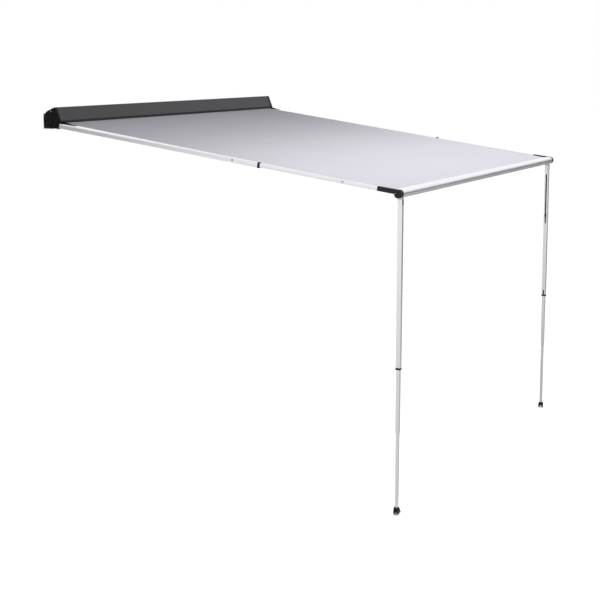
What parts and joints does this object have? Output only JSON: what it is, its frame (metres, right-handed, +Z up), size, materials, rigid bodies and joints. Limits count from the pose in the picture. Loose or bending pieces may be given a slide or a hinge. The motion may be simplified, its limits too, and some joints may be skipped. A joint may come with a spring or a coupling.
{
  "type": "vehicle side awning",
  "caption": "Cassette awning for a vehicle side: case with roller, sloping canopy, lead rail with telescopic folding legs, and telescopic rafters that fold into the case.",
  "frame": {"origin": "centre of the middle wall bracket's back face, which lies against the vehicle", "axes": "+X along the case to its right end seen from in front of the awning, +Y into the vehicle, +Z up"},
  "size_m": [3.003, 2.6707, 2.4528],
  "materials": {
    "shell": "anthracite powder coat on aluminium extrusion",
    "black_plastic": "black moulded nylon, fine grain",
    "silver_extrusion": "clear satin anodised extrusion",
    "light_alloy": "plain aluminium",
    "steel": "zinc plated steel",
    "rubber": "black rubber",
    "canopy_cloth": "light grey coated cloth"
  },
  "bodies": {
    "case": {"case_body": "shell", "front_panel": "shell", "lip_seal": "rubber", "wall_bracket_middle": "light_alloy", "roller_axle": "steel", "end_cap_left": "black_plastic", "end_cap_screw_left": "steel", "wall_bracket_left": "light_alloy", "rafter_housing_left": "black_plastic", "rafter_pin_left": "steel", "end_cap_right": "black_plastic", "end_cap_screw_right": "steel", "wall_bracket_right": "light_alloy", "rafter_housing_right": "black_plastic", "rafter_pin_right": "steel"},
    "roller": {"roller_tube": "light_alloy", "roller_plug_left": "black_plastic", "roller_plug_right": "black_plastic", "canopy_wraps": "canopy_cloth"},
    "rail": {"lead_rail": "silver_extrusion", "canopy": "canopy_cloth", "canopy_keder": "canopy_cloth", "rail_cap_left": "black_plastic", "leg_pin_left": "steel", "rail_cap_right": "black_plastic", "leg_pin_right": "steel"},
    "rafter_left": {"rafter_knuckle_left": "black_plastic", "rafter_outer_tube_left": "silver_extrusion", "rafter_collar_left": "black_plastic"},
    "rafter_button_left": {"rafter_button_left": "black_plastic"},
    "rafter_inner_left": {"rafter_inner_tube_left": "silver_extrusion", "rafter_elbow_left": "black_plastic", "elbow_screw_left": "steel"},
    "leg_left": {"leg_head_left": "light_alloy", "leg_upper_tube_left": "silver_extrusion", "leg_cover_left": "black_plastic", "leg_collar_left": "black_plastic"},
    "leg_lever_left": {"leg_lever_left": "black_plastic"},
    "leg_middle_left": {"leg_middle_tube_left": "silver_extrusion", "leg_tab_left": "black_plastic"},
    "leg_lower_left": {"leg_lower_tube_left": "silver_extrusion", "foot_pin_left": "steel"},
    "foot_left": {"foot_left": "rubber"},
    "rafter_right": {"rafter_knuckle_right": "black_plastic", "rafter_outer_tube_right": "silver_extrusion", "rafter_collar_right": "black_plastic"},
    "rafter_button_right": {"rafter_button_right": "black_plastic"},
    "rafter_inner_right": {"rafter_inner_tube_right": "silver_extrusion", "rafter_elbow_right": "black_plastic", "elbow_screw_right": "steel"},
    "leg_right": {"leg_head_right": "light_alloy", "leg_upper_tube_right": "silver_extrusion", "leg_cover_right": "black_plastic", "leg_collar_right": "black_plastic"},
    "leg_lever_right": {"leg_lever_right": "black_plastic"},
    "leg_middle_right": {"leg_middle_tube_right": "silver_extrusion", "leg_tab_right": "black_plastic"},
    "leg_lower_right": {"leg_lower_tube_right": "silver_extrusion", "foot_pin_right": "steel"},
    "foot_right": {"foot_right": "rubber"}
  },
  "joints": [
    {"name": "rail_slide", "type": "slide", "parent": "case", "child": "rail", "axis": [0, 0.9915, 0.1299], "range_m": [0, 2.496], "deforming": ["canopy"]},
    {"name": "roller_spin", "type": "hinge", "parent": "case", "child": "roller", "pos_m": [0, -0.07664, 0.02652], "axis": [1, 0, 0], "range_deg": [0, 4293]},
    {"name": "rafter_fold_left", "type": "hinge", "parent": "case", "child": "rafter_left", "pos_m": [-1.485, -0.1227, -0.02912], "axis": [0, -0.1299, 0.9915], "range_deg": [0, 90]},
    {"name": "rafter_shorten_left", "type": "slide", "parent": "rafter_left", "child": "rafter_inner_left", "axis": [0, 0.9915, 0.1299], "range_m": [0, 0.78]},
    {"name": "rafter_button_left_press", "type": "slide", "parent": "rafter_left", "child": "rafter_button_left", "axis": [1, 0, 0], "range_m": [0, 0.0025], "stiffness_N_per_m": 300, "springref_m": -0.002},
    {"name": "leg_fold_left", "type": "hinge", "parent": "rail", "child": "leg_left", "pos_m": [-1.437, -2.6387, -0.3875], "axis": [0, -1, 0], "range_deg": [0, 90]},
    {"name": "leg_lever_left_open", "type": "hinge", "parent": "leg_left", "child": "leg_lever_left", "pos_m": [-1.4218, -2.6387, -1.4335], "axis": [0, -1, 0], "range_deg": [-50, 0]},
    {"name": "leg_middle_left_slide", "type": "slide", "parent": "leg_left", "child": "leg_middle_left", "axis": [0, 0, 1], "range_m": [0, 0.3]},
    {"name": "leg_lower_left_slide", "type": "slide", "parent": "leg_middle_left", "child": "leg_lower_left", "axis": [0, 0, 1], "range_m": [0, 0.455]},
    {"name": "foot_left_tilt", "type": "hinge", "parent": "leg_lower_left", "child": "foot_left", "pos_m": [-1.437, -2.6387, -2.3275], "axis": [0, 1, 0], "range_deg": [-8, 28]},
    {"name": "rafter_fold_right", "type": "hinge", "parent": "case", "child": "rafter_right", "pos_m": [1.485, -0.0927, -0.02519], "axis": [0, 0.1299, -0.9915], "range_deg": [0, 90]},
    {"name": "rafter_shorten_right", "type": "slide", "parent": "rafter_right", "child": "rafter_inner_right", "axis": [0, 0.9915, 0.1299], "range_m": [0, 0.78]},
    {"name": "rafter_button_right_press", "type": "slide", "parent": "rafter_right", "child": "rafter_button_right", "axis": [-1, 0, 0], "range_m": [0, 0.0025], "stiffness_N_per_m": 300, "springref_m": -0.002},
    {"name": "leg_fold_right", "type": "hinge", "parent": "rail", "child": "leg_right", "pos_m": [1.437, -2.6387, -0.3875], "axis": [0, 1, 0], "range_deg": [0, 90]},
    {"name": "leg_lever_right_open", "type": "hinge", "parent": "leg_right", "child": "leg_lever_right", "pos_m": [1.4218, -2.6387, -1.4335], "axis": [0, 1, 0], "range_deg": [-50, 0]},
    {"name": "leg_middle_right_slide", "type": "slide", "parent": "leg_right", "child": "leg_middle_right", "axis": [0, 0, 1], "range_m": [0, 0.3]},
    {"name": "leg_lower_right_slide", "type": "slide", "parent": "leg_middle_right", "child": "leg_lower_right", "axis": [0, 0, 1], "range_m": [0, 0.455]},
    {"name": "foot_right_tilt", "type": "hinge", "parent": "leg_lower_right", "child": "foot_right", "pos_m": [1.437, -2.6387, -2.3275], "axis": [0, -1, 0], "range_deg": [-8, 28]}
  ],
  "couplings": [
    {"joint": "roller_spin", "follows": "rail_slide", "rad_per_m": 30}
  ]
}
